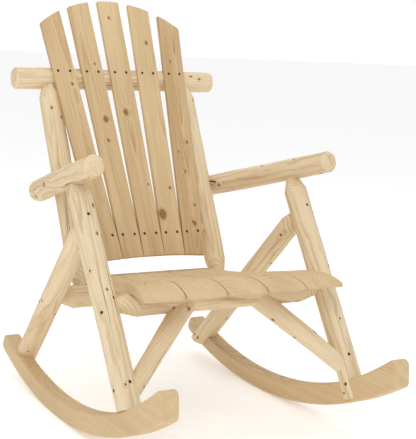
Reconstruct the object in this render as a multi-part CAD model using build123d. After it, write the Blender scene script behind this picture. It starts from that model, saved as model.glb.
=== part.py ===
"""Log rocking chair: peeled round logs, curved sawn rockers, a fanned slat back
and a contoured slat seat.

Frame: millimetres, +Z up, the chair faces -Y, X runs across it, and the origin is
on the floor under the middle of its outline. "left" is the -X side.

The pieces are drawn with the seat nearly level, and the finished chair is then rolled
back on its rockers to where it balances, which is how an empty one stands.
"""
import os
from math import atan, cos, degrees, hypot, radians, sin, sqrt, tan

from build123d import *

# ---------------------------------------------------------------- stance
REST_ROLL = 5.74                # degrees the chair leans back where it balances
CENTRE_SHIFT_Y = 32.3           # brings the middle of its outline over the origin

# ---------------------------------------------------------------- rockers
ROCKER_CENTRE_X = 291.7
ROCKER_THICKNESS = 42.0
ROCKER_TOE_OUT = 0.7            # degrees, the front ends stand wider apart
ROCKER_CONTACT_Y = 27.0         # where the rockers touch the floor at rest
ROCKER_BOTTOM_RADIUS = 1026.0
ROCKER_TOP_RADIUS = 918.0
ROCKER_TOP_CENTRE = (45.0, 964.0)
ROCKER_FRONT_Y = -447.0
ROCKER_REAR_Y = 490.0
ROCKER_END_ROUND = 15.0
ROCKER_EDGE_ROUND = 5.0

# ---------------------------------------------------------------- round logs
FRONT_LEG_X = 295.0
FRONT_LEG_RADIUS = 28.0
FRONT_LEG_FOOT = (-300.0, 22.5)     # (Y, Z) of the axis at the foot
FRONT_LEG_HEAD = (11.6, 594.0)      # (Y, Z) of the axis inside the armrest
REAR_LEG_RADIUS = 27.0
REAR_LEG_FOOT = (268.5, 478.0, 34.5)
REAR_LEG_HEAD = (294.0, -46.6, 487.2)
ARMREST_FRONT = (318.0, -138.0, 616.5)
ARMREST_REAR = (253.0, 345.0, 536.5)
ARMREST_FRONT_RADIUS = 26.0
ARMREST_REAR_RADIUS = 28.5
BACK_POST_X = 201.0
BACK_POST_RADIUS = 28.0
TOP_RAIL_AXIS = (411.5, 828.0)      # (Y, Z)
TOP_RAIL_HALF_LENGTH = 293.0
TOP_RAIL_RADIUS = 28.0
REAR_RAIL_AXIS = (195.0, 278.0)
REAR_RAIL_RADIUS = 28.5
REAR_RAIL_SHOULDER_X = 230.0
FRONT_RAIL_AXIS = (-145.0, 306.7)
FRONT_RAIL_RADIUS = 30.0
FRONT_RAIL_SHOULDER_X = 221.0
LOWER_RAIL_RADIUS = 26.0
LOWER_RAIL_SHOULDER_X = 150.0
BRACE_RADIUS = 26.0
BRACE_HEAD_X = 88.0
BRACE_RISE = 46.0                   # degrees from the seat rail, in the leg plane

# joints between logs
TENON_RADIUS = 14.0
LAP_NOTCH = 14.0                    # how far a front leg is let into its rocker
LAP_END_GAP = 9.0                   # the legs stop this far above the rocker's underside

# ---------------------------------------------------------------- back slats
SLAT_COUNT = 5
SLAT_LEAN = 22.1                    # degrees from vertical
SLAT_LOWER_ROW = (209.5, 425.7)     # (Y, Z) of the lower screw row on the front face
SLAT_ROW_SPACING = 456.0
SLAT_THICKNESS = 12.0
SLAT_FOOT = -60.0                   # along the slope from the lower screw row
SLAT_FOOT_PITCH = 60.2
SLAT_FOOT_WIDTH = 59.0
SLAT_HEAD = 640.0
SLAT_HEAD_PITCH = 90.2
SLAT_HEAD_WIDTH = 61.5
BACK_ARCH_RADIUS = 330.0
BACK_ARCH_TOP = 668.0
BACK_FOOT_ARC_RADIUS = 1685.0

# ---------------------------------------------------------------- seat slats
SEAT_FRONT_Y = -276.0
SEAT_REAR_Y = 218.0
SEAT_CREST_Y = -191.0
SEAT_FRONT_HALF_WIDTH = 251.0       # at the crest
SEAT_REAR_HALF_WIDTH = 170.0        # between the back posts
SEAT_SLAT_GAP = 3.0
SEAT_TOP_PROFILE = [(218.0, 324.0), (74.0, 327.0), (-71.0, 343.5), (-191.0, 354.5)]
SEAT_NOSE_PROFILE = [(-191.0, 354.5), (-236.0, 347.0), (-276.0, 329.0)]
SEAT_UNDER_PROFILE = [(-276.0, 326.0), (-191.0, 332.0), (-71.0, 323.0), (74.0, 307.0),
                      (218.0, 304.0)]

# ---------------------------------------------------------------- screws
SCREW_HEAD_RADIUS = 3.8
SCREW_HEAD_HEIGHT = 2.6
SCREW_SHANK_RADIUS = 2.2
SCREW_RECESS = 1.6
SCREW_CLEARANCE = 0.15
SLAT_SCREW_HALF_PITCH = 16.8
SLAT_SCREW_LENGTH = 38.0
FRAME_SCREW_LENGTH = 60.0


# ================================================================ helpers
def placed(start, end):
    """Location whose local +Z runs from start to end."""
    return Location(Plane(origin=start, z_dir=Vector(*end) - Vector(*start)))


def turned(start, end, stations):
    """A round log: (distance from start, radius) stations turned about its axis."""
    first, last = stations[0][0], stations[-1][0]
    points = [(0, 0, first)] + [(r, 0, s) for s, r in stations] + [(0, 0, last)]
    face = make_face(Polyline(*points, close=True))
    return placed(start, end) * revolve(face, Axis.Z)


def length(start, end):
    return (Vector(*end) - Vector(*start)).length


def on_line(foot, head, z):
    """Y of the line through two (Y, Z) points at height z."""
    return foot[0] + (head[0] - foot[0]) * (z - foot[1]) / (head[1] - foot[1])


def mirrored(part):
    return mirror(part, about=Plane.YZ)


def one_solid(shape):
    """The single solid of a boolean result; anything else is an error."""
    solids = shape.solids()
    if len(solids) != 1:
        raise ValueError(f"expected one solid, got {len(solids)}")
    return solids[0]


# ================================================================ rocker blank
def rocker_place():
    pivot = Pos(ROCKER_CENTRE_X, ROCKER_CONTACT_Y, 0)
    return pivot * Rot(0, 0, ROCKER_TOE_OUT) * Pos(0, -ROCKER_CONTACT_Y, 0)


def rocker_outline():
    """Side view (local x = Y, local y = Z) between two arcs, with rounded ends."""
    bottom = Pos(ROCKER_CONTACT_Y, ROCKER_BOTTOM_RADIUS) * Circle(ROCKER_BOTTOM_RADIUS)
    hollow = Pos(*ROCKER_TOP_CENTRE) * Circle(ROCKER_TOP_RADIUS)
    reach = ROCKER_REAR_Y - ROCKER_CONTACT_Y
    rise = ROCKER_BOTTOM_RADIUS - sqrt(ROCKER_BOTTOM_RADIUS**2 - reach**2)
    lean = reach / ROCKER_BOTTOM_RADIUS
    tall = 260.0
    rear_top = (ROCKER_REAR_Y - tall * lean, rise + tall * sqrt(1 - lean**2))
    rear_bottom = (ROCKER_REAR_Y + 40 * lean, rise - 40 * sqrt(1 - lean**2))
    window = make_face(Polyline((ROCKER_FRONT_Y, -60), (ROCKER_FRONT_Y, 400),
                                (rear_top[0], 400), rear_top, rear_bottom,
                                (rear_bottom[0], -60), close=True))
    outline = (bottom - hollow) & window
    return fillet(outline.vertices(), ROCKER_END_ROUND)


def side_extrusion(sketch, x_from, x_to):
    """Extrude a (Y, Z) sketch across X."""
    return extrude(Plane.YZ.offset(x_from) * sketch, x_to - x_from)


def rocker_blank():
    half = ROCKER_THICKNESS / 2
    bar = side_extrusion(rocker_outline(), -half, half)
    rims = [e for e in bar.edges() if abs(e.bounding_box().size.X) < 0.01]
    return rocker_place() * fillet(rims, ROCKER_EDGE_ROUND)


def lap_waste(inner_x):
    """What a leg loses at its rocker: outboard of inner_x and under the rocker's top."""
    square = make_face(Polyline((-520, -150), (-520, 230), (560, 230), (560, -150),
                                close=True))
    under = square - Pos(*ROCKER_TOP_CENTRE) * Circle(ROCKER_TOP_RADIUS)
    return rocker_place() * side_extrusion(under, inner_x, 90)


def foot_limit():
    """Round bar about the rocking centre; a leg foot is kept inside it."""
    disc = Pos(ROCKER_CONTACT_Y, ROCKER_BOTTOM_RADIUS) * Circle(
        ROCKER_BOTTOM_RADIUS - LAP_END_GAP)
    return side_extrusion(disc, 0, 500)


# ================================================================ logs, right side
def front_leg():
    foot = (FRONT_LEG_X, *FRONT_LEG_FOOT)
    head = (FRONT_LEG_X + 4.0, *FRONT_LEG_HEAD)
    total = length(foot, head)
    shoulder = total - 61
    neck = total - 29
    leg = turned(foot, head, [(0, FRONT_LEG_RADIUS), (shoulder, FRONT_LEG_RADIUS),
                              (neck, TENON_RADIUS + 2), (neck, TENON_RADIUS),
                              (total, TENON_RADIUS)])
    leg = leg & foot_limit()
    return leg - lap_waste(-ROCKER_THICKNESS / 2 + LAP_NOTCH)


def rear_leg():
    total = length(REAR_LEG_FOOT, REAR_LEG_HEAD)
    tenon_end = total - 2
    neck = total - 30
    shoulder = total - 58
    leg = turned(REAR_LEG_FOOT, REAR_LEG_HEAD,
                 [(0, REAR_LEG_RADIUS), (shoulder, REAR_LEG_RADIUS),
                  (neck, TENON_RADIUS + 5), (neck, TENON_RADIUS),
                  (tenon_end, TENON_RADIUS)])
    leg = leg & foot_limit()
    return leg - lap_waste(-ROCKER_THICKNESS / 2)


def back_post():
    foot = (BACK_POST_X, *REAR_RAIL_AXIS)
    head = (BACK_POST_X, *TOP_RAIL_AXIS)
    total = length(foot, head)
    low_neck = REAR_RAIL_RADIUS
    high_neck = total - TOP_RAIL_RADIUS
    return turned(foot, head, [(2, TENON_RADIUS), (low_neck, TENON_RADIUS),
                               (low_neck, TENON_RADIUS + 4),
                               (low_neck + 42, BACK_POST_RADIUS),
                               (high_neck - 24, BACK_POST_RADIUS),
                               (high_neck, TENON_RADIUS + 6), (high_neck, TENON_RADIUS),
                               (total - 2, TENON_RADIUS)])


def armrest():
    total = length(ARMREST_FRONT, ARMREST_REAR)
    bar = turned(ARMREST_FRONT, ARMREST_REAR,
                 [(0, ARMREST_FRONT_RADIUS), (total, ARMREST_REAR_RADIUS)])
    return fillet(bar.edges().filter_by(GeomType.CIRCLE), 9)


def crosswise_log(axis, radius, shoulder_x, neck_x, neck_radius, tenon_x):
    """A log across the chair, coned down to a tenon at each end."""
    start, end = (-tenon_x, *axis), (tenon_x, *axis)
    cone = shoulder_x, neck_x
    ends = [(0, TENON_RADIUS), (tenon_x - cone[1], TENON_RADIUS),
            (tenon_x - cone[1], neck_radius), (tenon_x - cone[0], radius)]
    far = [(2 * tenon_x - s, r) for s, r in reversed(ends)]
    return turned(start, end, ends + far)


def top_rail():
    half = TOP_RAIL_HALF_LENGTH
    bar = turned((-half, *TOP_RAIL_AXIS), (half, *TOP_RAIL_AXIS),
                 [(0, TOP_RAIL_RADIUS), (2 * half, TOP_RAIL_RADIUS)])
    return fillet(bar.edges().filter_by(GeomType.CIRCLE), 5)


def brace():
    """Knee brace in the plane of the front legs, from a leg up to the seat rail."""
    run = FRONT_LEG_X - BRACE_HEAD_X
    drop = run * tan(radians(BRACE_RISE))
    dy = FRONT_LEG_HEAD[0] - FRONT_LEG_FOOT[0]
    dz = FRONT_LEG_HEAD[1] - FRONT_LEG_FOOT[1]
    slope = hypot(dy, dz)
    head = (BRACE_HEAD_X, *FRONT_RAIL_AXIS)
    foot = (FRONT_LEG_X, head[1] - drop * dy / slope, head[2] - drop * dz / slope)
    return turned(foot, head, [(0, BRACE_RADIUS), (length(foot, head), BRACE_RADIUS)])


# ================================================================ slats
def slat_plane():
    lean = radians(SLAT_LEAN)
    return Plane(origin=(0, *SLAT_LOWER_ROW), x_dir=(1, 0, 0),
                 z_dir=(0, -cos(lean), sin(lean)))


def slat_pitch(s):
    """Spacing of the slat centre lines at a distance s up the slope."""
    share = (s - SLAT_FOOT) / (SLAT_HEAD - SLAT_FOOT)
    return SLAT_FOOT_PITCH + (SLAT_HEAD_PITCH - SLAT_FOOT_PITCH) * share


def back_slat(place):
    """place runs from -2 (left) to 2 (right)."""
    low, high = SLAT_FOOT - 20, BACK_ARCH_TOP + 10
    grow = (SLAT_HEAD_WIDTH - SLAT_FOOT_WIDTH) / (SLAT_HEAD - SLAT_FOOT)
    corners = []
    for s, side in ((low, -1), (low, 1), (high, 1), (high, -1)):
        width = SLAT_FOOT_WIDTH + grow * (s - SLAT_FOOT)
        corners.append((place * slat_pitch(s) + side * width / 2, s))
    board = make_face(Polyline(*corners, close=True))
    arch_centre = BACK_ARCH_TOP - BACK_ARCH_RADIUS
    arch = Pos(0, arch_centre) * Circle(BACK_ARCH_RADIUS)
    below = Pos(0, arch_centre / 2 - 100) * Rectangle(700, arch_centre + 200)
    foot = Pos(0, SLAT_FOOT - BACK_FOOT_ARC_RADIUS) * Circle(BACK_FOOT_ARC_RADIUS)
    outline = (board & (arch + below)) - foot
    return extrude(slat_plane() * outline, -SLAT_THICKNESS)


def seat_edge_x(share, y):
    """X of a slat boundary; share runs from -1 to 1 across the seat."""
    taper = (SEAT_FRONT_HALF_WIDTH - SEAT_REAR_HALF_WIDTH) / (SEAT_REAR_Y - SEAT_CREST_Y)
    return share * (SEAT_REAR_HALF_WIDTH + taper * (SEAT_REAR_Y - y))


def seat_body():
    """The whole seat before it is cut into slats: dished top, waterfall front."""
    top = Spline(*SEAT_TOP_PROFILE)
    nose = Spline(*SEAT_NOSE_PROFILE)
    front = Line(SEAT_NOSE_PROFILE[-1], SEAT_UNDER_PROFILE[0])
    under = Spline(*SEAT_UNDER_PROFILE)
    rear = Line(SEAT_UNDER_PROFILE[-1], SEAT_TOP_PROFILE[0])
    profile = make_face(Curve() + [top, nose, front, under, rear])
    return side_extrusion(profile, -300, 300)


def seat_slat(number):
    gap = SEAT_SLAT_GAP / 2
    shares = [(2 * edge - SLAT_COUNT) / SLAT_COUNT for edge in (number - 1, number)]
    front, rear = SEAT_FRONT_Y - 5, SEAT_REAR_Y + 5
    plan = make_face(Polyline(
        (seat_edge_x(shares[0], front) + gap, front),
        (seat_edge_x(shares[1], front) - gap, front),
        (seat_edge_x(shares[1], rear) - gap, rear),
        (seat_edge_x(shares[0], rear) + gap, rear), close=True))
    return seat_body() & extrude(Pos(0, 0, 250) * plan, 150)


# ================================================================ screws
def screw(point, direction, total):
    """A countersunk-style screw, its head sunk SCREW_RECESS under the point."""
    place = placed(point, tuple(Vector(*point) + Vector(*direction)))
    head = Cylinder(SCREW_HEAD_RADIUS, SCREW_HEAD_HEIGHT,
                    align=(Align.CENTER, Align.CENTER, Align.MIN))
    shank = Cylinder(SCREW_SHANK_RADIUS, total - SCREW_HEAD_HEIGHT,
                     align=(Align.CENTER, Align.CENTER, Align.MIN))
    body = head + Pos(0, 0, SCREW_HEAD_HEIGHT) * shank
    return place * Pos(0, 0, SCREW_RECESS) * body


def screw_hole(point, direction, total):
    """The counterbored hole of the same screw, open at the wood's surface."""
    place = placed(point, tuple(Vector(*point) + Vector(*direction)))
    wide = SCREW_HEAD_RADIUS + SCREW_CLEARANCE
    slim = SCREW_SHANK_RADIUS + SCREW_CLEARANCE
    outside = 12.0
    head = Pos(0, 0, -outside) * Cylinder(
        wide, outside + SCREW_RECESS + SCREW_HEAD_HEIGHT,
        align=(Align.CENTER, Align.CENTER, Align.MIN))
    shank = Cylinder(slim, total + SCREW_RECESS + 1,
                     align=(Align.CENTER, Align.CENTER, Align.MIN))
    return place * (head + shank)


def slat_screws(s):
    """Two per back slat in one row, driven square through the slat."""
    plane = slat_plane()
    inwards = tuple(plane.z_dir * -1)
    points = []
    for place in range(-2, 3):
        for side in (-1, 1):
            x = place * slat_pitch(s) + side * SLAT_SCREW_HALF_PITCH
            points.append((tuple(plane.from_local_coords((x, s, 0))), inwards,
                           SLAT_SCREW_LENGTH))
    return points


def seat_top_z(y):
    """Height of the dished seat top at y, from the same curve as the slats."""
    curve = Spline(*SEAT_TOP_PROFILE)
    reach = curve.position_at(0).X - curve.position_at(1).X
    share = (curve.position_at(0).X - y) / reach
    for _ in range(20):
        share += (curve.position_at(share).X - y) / reach
    return curve.position_at(share).Y


def seat_screws(y):
    """Two per seat slat over one rail, driven straight down."""
    points = []
    for number in range(1, SLAT_COUNT + 1):
        share = (2 * number - 1 - SLAT_COUNT) / SLAT_COUNT
        half = 0.24 * (seat_edge_x(1, y) - seat_edge_x(-1, y)) / SLAT_COUNT
        for side in (-1, 1):
            point = (seat_edge_x(share, y) + side * half, y, seat_top_z(y))
            points.append((point, (0, 0, -1), SLAT_SCREW_LENGTH + 6))
    return points


def both_sides(entries):
    """Mirror (point, direction, length) entries of the right side to the left."""
    out = []
    for point, direction, total in entries:
        out.append((point, direction, total))
        out.append(((-point[0], *point[1:]), (-direction[0], *direction[1:]), total))
    return out


def leg_face_point(foot, head, radius, distance, turn):
    """Point on a log's skin and the inward direction there; turn 0 faces outboard."""
    axis = (Vector(*head) - Vector(*foot)).normalized()
    outboard = Vector(1, 0, 0) - axis * axis.X
    outboard = outboard.normalized()
    skin = outboard.rotate(Axis((0, 0, 0), axis), turn)
    point = Vector(*foot) + axis * distance + skin * radius
    return tuple(point), tuple(skin * -1)


def frame_screws():
    """The screws that lock the log frame, right side only, grouped by node."""
    front = (FRONT_LEG_X, *FRONT_LEG_FOOT), (FRONT_LEG_X + 4.0, *FRONT_LEG_HEAD)
    rear = REAR_LEG_FOOT, REAR_LEG_HEAD
    post = (BACK_POST_X, *REAR_RAIL_AXIS), (BACK_POST_X, *TOP_RAIL_AXIS)
    arm = ARMREST_FRONT, ARMREST_REAR
    lap, rail, brace_ends, arm_ends, post_ends = [], [], [], [], []
    for distance, turn in ((56, 170), (74, 200)):
        lap.append((*leg_face_point(*front, FRONT_LEG_RADIUS, distance, turn), 44))
    for distance, turn in ((96, 160), (104, 196)):
        lap.append((*leg_face_point(*rear, REAR_LEG_RADIUS, distance, turn), 40))
    for distance, turn in ((304, -41), (334, -118)):
        rail.append((*leg_face_point(*front, FRONT_LEG_RADIUS, distance, turn), 40))
    rail.append((*leg_face_point(*rear, REAR_LEG_RADIUS, 372, -6), FRAME_SCREW_LENGTH))
    rail.append((*leg_face_point(*front, FRONT_LEG_RADIUS, 536, -86), 44))
    for distance, turn in ((132, -7), (141, -98)):
        brace_ends.append((*leg_face_point(*front, FRONT_LEG_RADIUS, distance, turn),
                           FRAME_SCREW_LENGTH))
    arm_ends.append((*leg_face_point(*arm, 26.5, 138, 100), 48))
    arm_ends.append((*leg_face_point(*arm, 28.0, 424, 6), 74))
    post_ends.append((*leg_face_point(*post, BACK_POST_RADIUS, 158, 84), 40))
    return dict(rocker_lap_screws=lap, leg_tenon_screws=rail, brace_screws=brace_ends,
                armrest_screws=arm_ends, back_post_screws=post_ends)


# ================================================================ assembly
nodes = {}

blank = rocker_blank()
leg = front_leg()
hind = rear_leg()
post = back_post()
arm = armrest() - leg - post
rail_front = crosswise_log(FRONT_RAIL_AXIS, FRONT_RAIL_RADIUS, FRONT_RAIL_SHOULDER_X,
                           FRONT_LEG_X - FRONT_LEG_RADIUS + 5, TENON_RADIUS + 2,
                           FRONT_LEG_X - 2)
rail_rear = crosswise_log(REAR_RAIL_AXIS, REAR_RAIL_RADIUS, REAR_RAIL_SHOULDER_X,
                          256, TENON_RADIUS + 2, 283)
lower_y = on_line(REAR_RAIL_AXIS, TOP_RAIL_AXIS, SLAT_LOWER_ROW[1])
rail_lower = crosswise_log((lower_y, SLAT_LOWER_ROW[1]), LOWER_RAIL_RADIUS,
                           LOWER_RAIL_SHOULDER_X, BACK_POST_X - BACK_POST_RADIUS + 5,
                           TENON_RADIUS + 2, BACK_POST_X - 4)
rail_top = top_rail() - post - mirrored(post)

leg = leg - hind - rail_front
hind = hind - rail_rear
post = post - rail_lower - back_slat(2)
rail_rear = rail_rear - back_post() - mirrored(back_post())
knee = brace() - leg - rail_front
rocker = blank - leg - hind

for side, flip in (("left", True), ("right", False)):
    pieces = dict(rocker=rocker, front_leg=leg, rear_leg=hind, back_post=post,
                  armrest=arm, brace=knee)
    for name, piece in pieces.items():
        nodes[f"{name}_{side}"] = mirrored(piece) if flip else piece

back_slats = [back_slat(place) for place in range(-2, 3)]
for board in back_slats:
    rail_top = rail_top - board
    rail_lower = rail_lower - board
nodes["top_rail"] = rail_top
nodes["lower_back_rail"] = rail_lower
nodes["front_seat_rail"] = rail_front
nodes["rear_seat_rail"] = rail_rear
for number, board in enumerate(back_slats, start=1):
    nodes[f"back_slat_{number}"] = board

for number in range(1, SLAT_COUNT + 1):
    board = seat_slat(number)
    for log in (rail_front, rail_rear, post, mirrored(post)):
        board = board - log
    nodes[f"seat_slat_{number}"] = board

screw_groups = dict(
    top_slat_screws=slat_screws(SLAT_ROW_SPACING),
    lower_slat_screws=slat_screws(0.0),
    front_seat_screws=seat_screws(FRONT_RAIL_AXIS[0]),
    rear_seat_screws=seat_screws(REAR_RAIL_AXIS[0] - 4))
for group, entries in frame_screws().items():
    screw_groups[group] = both_sides(entries)

for group, entries in screw_groups.items():
    for entry in entries:
        drill = screw_hole(*entry)
        reach = drill.bounding_box()
        for name, piece in nodes.items():
            box = piece.bounding_box()
            if (box.min.X < reach.max.X and box.max.X > reach.min.X
                    and box.min.Y < reach.max.Y and box.max.Y > reach.min.Y
                    and box.min.Z < reach.max.Z and box.max.Z > reach.min.Z):
                nodes[name] = piece - drill

for name in list(nodes):
    nodes[name] = one_solid(nodes[name])
for group, entries in screw_groups.items():
    nodes[group] = Compound([one_solid(screw(*entry)) for entry in entries])

rocking_centre = Pos(0, ROCKER_CONTACT_Y, ROCKER_BOTTOM_RADIUS)
at_rest = (Pos(0, CENTRE_SHIFT_Y, 0) * rocking_centre * Rot(-REST_ROLL, 0, 0)
           * rocking_centre.inverse())
for name in list(nodes):
    nodes[name] = at_rest * nodes[name]

os.makedirs("parts", exist_ok=True)
for name, piece in nodes.items():
    piece.label = name
    export_step(piece, f"parts/{name}.step")

WOOD_DENSITY = 4.6e-7               # kg per cubic millimetre, air-dry fir
STEEL_DENSITY = 7.85e-6
mass = 0.0
moment = Vector(0, 0, 0)
for name, piece in nodes.items():
    density = STEEL_DENSITY if name.endswith("screws") else WOOD_DENSITY
    for solid in piece.solids():
        mass += solid.volume * density
        moment += solid.center(CenterOf.MASS) * (solid.volume * density)
centre = moment / mass
print(f"mass {mass:.2f} kg, centre of gravity {centre}")
contact = ROCKER_CONTACT_Y + CENTRE_SHIFT_Y
off_balance = degrees(atan((centre.Y - contact) / (ROCKER_BOTTOM_RADIUS - centre.Z)))
print(f"contact line y {contact:.1f}, off balance by {off_balance:.2f} degrees")
outline = Compound(list(nodes.values())).bounding_box()
print(f"outline {outline.min} to {outline.max}")
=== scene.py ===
"""Log rocking chair: the looks of a high-backed rocker of peeled fir logs.

Metres, +Z up, the chair faces -Y and "left" is the -X side. The pieces are laid out with the
seat nearly level, as their maker would draw them, and are then leaned back with AT_REST.
"""

import random
from math import cos, pi, radians, sin, tan

import bmesh
import bpy
import numpy as np
from mathutils import Matrix, Vector


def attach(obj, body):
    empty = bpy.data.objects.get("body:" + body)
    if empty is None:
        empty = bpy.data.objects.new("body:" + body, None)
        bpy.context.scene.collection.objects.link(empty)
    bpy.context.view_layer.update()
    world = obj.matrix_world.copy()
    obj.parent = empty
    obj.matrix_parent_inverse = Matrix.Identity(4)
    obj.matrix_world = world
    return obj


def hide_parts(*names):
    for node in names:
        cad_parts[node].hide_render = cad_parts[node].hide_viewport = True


bl_info = {
    "name": "Log Rocking Chair",
    "version": (1, 0, 0),
    "blender": (4, 5, 0),
    "location": "View3D > Sidebar > Log Chair",
    "description": "Builds the logs, boards and finishes of a log rocking chair on its frame",
    "category": "Object",
}

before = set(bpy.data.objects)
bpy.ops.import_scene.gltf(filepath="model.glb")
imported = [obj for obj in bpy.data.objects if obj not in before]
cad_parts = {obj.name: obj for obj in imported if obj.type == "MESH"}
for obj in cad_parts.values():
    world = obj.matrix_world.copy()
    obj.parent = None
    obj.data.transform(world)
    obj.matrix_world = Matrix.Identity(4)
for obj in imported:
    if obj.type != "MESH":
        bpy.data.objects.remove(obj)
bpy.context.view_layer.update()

# ---------------------------------------------------------------- stance
REST_ROLL = radians(5.74)
ROCKING_CENTRE = Vector((0.0, 0.027, 1.026))
CENTRE_SHIFT = 0.0323
AT_REST = (Matrix.Translation((0.0, CENTRE_SHIFT, 0.0))
           @ Matrix.Translation(ROCKING_CENTRE)
           @ Matrix.Rotation(-REST_ROLL, 4, "X")
           @ Matrix.Translation(-ROCKING_CENTRE))

# ---------------------------------------------------------------- rockers
ROCKER_X = 0.2917
ROCKER_THICKNESS = 0.042
TOE_OUT = radians(0.7)
TOP_CENTRE = (0.045, 0.964)
TOP_RADIUS = 0.918
ROCKER_GRAIN = ((-0.45, 0.10), (0.49, 0.15))    # (Y, Z) that its grain runs through
LAP_NOTCH = 0.014
FOOT_RADIUS = 1.017

# ---------------------------------------------------------------- logs, right side
LEG_FOOT = Vector((0.295, -0.300, 0.0225))
LEG_HEAD = Vector((0.299, 0.0116, 0.594))
HIND_FOOT = Vector((0.2685, 0.478, 0.0345))
HIND_HEAD = Vector((0.294, -0.0466, 0.4872))
ARM_FRONT = Vector((0.318, -0.138, 0.6165))
ARM_REAR = Vector((0.253, 0.345, 0.5365))
POST_X = 0.201
REAR_RAIL = (0.195, 0.278)
TOP_RAIL = (0.4115, 0.828)
FRONT_RAIL = (-0.145, 0.3067)
LOWER_RAIL_Z = 0.4257
TENON = 0.014
POST_RADIUS = 0.028
REAR_RAIL_RADIUS = 0.0285
FRONT_RAIL_RADIUS = 0.030
LOWER_RAIL_RADIUS = 0.026
TOP_RAIL_RADIUS = 0.028
TOP_RAIL_HALF = 0.293
BRACE_HEAD_X = 0.088
BRACE_RISE = radians(46.0)
BRACE_FOOT_RADIUS = 0.0195
BRACE_HEAD_RADIUS = 0.0255
BRACE_KNOT_RADIUS = 0.023           # between the two, where its knots sit
BRACE_TRIM = 0.004                  # the visible brace stops this far inside its ends

# ---------------------------------------------------------------- back slats
SLAT_LEAN = radians(22.1)
SLAT_ROW = (0.2095, 0.4257)
SLAT_FOOT = -0.060
SLAT_HEAD = 0.640
SLAT_FOOT_PITCH = 0.0602
SLAT_PITCH_GAIN = 0.0300
SLAT_FOOT_WIDTH = 0.059
SLAT_WIDTH_GAIN = 0.0025
SLAT_SPARE = 0.012                  # length left on a slat for its arched ends
ARCH_TOP = 0.668
ARCH_RADIUS = 0.330
FOOT_ARC = 1.685

# ---------------------------------------------------------------- seat
SEAT_TOP = [(0.218, 0.324), (0.074, 0.327), (-0.071, 0.3435), (-0.191, 0.3545),
            (-0.236, 0.347), (-0.276, 0.329)]
SEAT_UNDER = [(-0.276, 0.326), (-0.191, 0.332), (-0.071, 0.323), (0.074, 0.307),
              (0.218, 0.304)]
SEAT_REAR_Y = 0.218
SEAT_CREST_Y = -0.191
SEAT_REAR_HALF = 0.170
SEAT_FRONT_HALF = 0.251
NOSE_ROUND = 0.017
SEAT_GAP = 0.003
SEAT_BLANK_FRONT = -0.2758
SEAT_BLANK_REAR = 0.230
SLATS = 5

SIDES = (("left", -1), ("right", 1))

# ---------------------------------------------------------------- knots and cracks
# back slats and seat slats: how many knots each has, and its largest radius
SLAT_KNOTTINESS = ((1, 0.0035), (3, 0.0075), (3, 0.0075), (3, 0.0115), (7, 0.0055))
SEAT_KNOTTINESS = ((0, 0.0), (0, 0.0), (0, 0.0), (1, 0.0035), (1, 0.0060))
SMALLEST_KNOT = 0.0025
LARGEST_LOG_KNOT = 0.0065
KNOTS_PER_METRE = 15
KNOT_MARGIN = 0.03                  # no knot lies this close to the end of a piece
SLAT_KNOT_REACH = 0.020             # how far from a slat's middle its knots lie
SEAT_KNOT_REACH = 0.030
CRACKS_PER_LOG = 2
CRACK_WIDTHS = (0.0005, 0.0011)
CRACK_STARTS = (0.05, 0.35)         # as shares of the log's length
CRACK_LENGTHS = (0.25, 0.50)


# ---------------------------------------------------------------- camera and light
LENS_LENGTH = 92.2                  # on a sensor 36 mm wide
LENS_SHIFT = (0.0044, -0.0008)
CAMERA_PLACE = (-1.3435, -2.3664, 0.9407)
CAMERA_RIGHT = Vector((0.8636, -0.5016, 0.0511))
CAMERA_UP = Vector((0.0402, 0.1695, 0.9847))
LIGHT_AIM = (0.0, 0.0, 0.45)
SOFT_LIGHTS = (("key_light", (-2.2, -2.6, 3.0), 2.0, 44),
               ("fill_light", (3.0, -1.6, 1.8), 2.5, 7),
               ("top_light", (0.2, 0.6, 3.6), 2.4, 28))    # name, place, size, power
ROOM_LIGHT = 0.70
FLOOR_GLOW = 0.31
FLOOR_DROP = 0.0005                 # the floor lies this far under the rockers


# ================================================================ settings
class LogChairSizes(bpy.types.PropertyGroup):
    leg_thickness: bpy.props.FloatProperty(
        name="Leg Thickness", description="Diameter of the front legs",
        default=0.056, min=0.03, max=0.08, unit="LENGTH", subtype="DISTANCE")
    hind_thickness: bpy.props.FloatProperty(
        name="Rear Leg Thickness", description="Diameter of the raking rear legs",
        default=0.054, min=0.03, max=0.08, unit="LENGTH", subtype="DISTANCE")
    arm_thickness: bpy.props.FloatProperty(
        name="Arm Thickness", description="Diameter of an armrest at its front end",
        default=0.052, min=0.03, max=0.08, unit="LENGTH", subtype="DISTANCE")
    slat_thickness: bpy.props.FloatProperty(
        name="Slat Thickness", description="Thickness of the back slats",
        default=0.012, min=0.006, max=0.02, unit="LENGTH", subtype="DISTANCE")
    peel_depth: bpy.props.FloatProperty(
        name="Peel Depth", description="How deep the peeling knife left its hollows",
        default=0.0022, min=0.0, max=0.006, unit="LENGTH", subtype="DISTANCE")
    eased_edge: bpy.props.FloatProperty(
        name="Eased Edge", description="Width of the sanded edges of the boards",
        default=0.0016, min=0.0002, max=0.004, unit="LENGTH", subtype="DISTANCE")


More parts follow.
